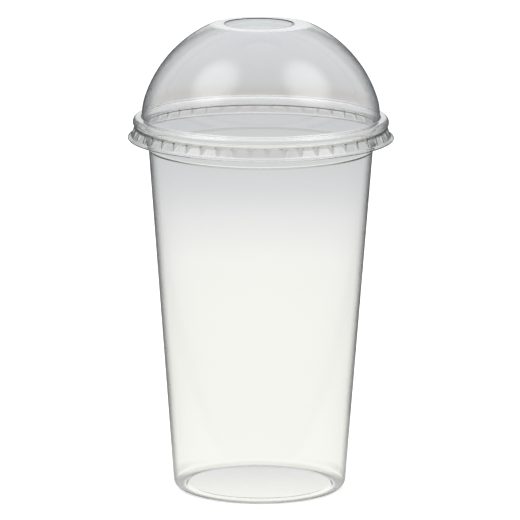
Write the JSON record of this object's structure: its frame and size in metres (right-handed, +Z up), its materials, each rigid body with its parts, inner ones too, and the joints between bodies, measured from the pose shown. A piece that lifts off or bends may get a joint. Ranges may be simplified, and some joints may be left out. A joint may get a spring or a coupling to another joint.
{
  "type": "plastic cup with dome lid",
  "caption": "Clear tapered drinking cup with a rolled rim and a stacking shoulder, closed by a clip-on dome lid with grip dents and a round hole in its flat top.",
  "frame": {"origin": "on the cup's axis, in the plane that its foot ring stands on", "axes": "+Z up along the axis of the cup, from the foot ring to the lid's hole; -Y is the side that the picture shows"},
  "size_m": [0.101, 0.1008, 0.1787],
  "materials": {
    "cup_plastic": "clear, glossy, thermoformed",
    "lid_plastic": "clear, glossy, thermoformed"
  },
  "bodies": {
    "cup": {"cup": "cup_plastic"},
    "lid": {"dome_lid": "lid_plastic"}
  },
  "joints": [
    {"name": "lid_lift", "type": "slide", "parent": "cup", "child": "lid", "axis": [0, 0, 1], "range_m": [0, 0.08]}
  ]
}
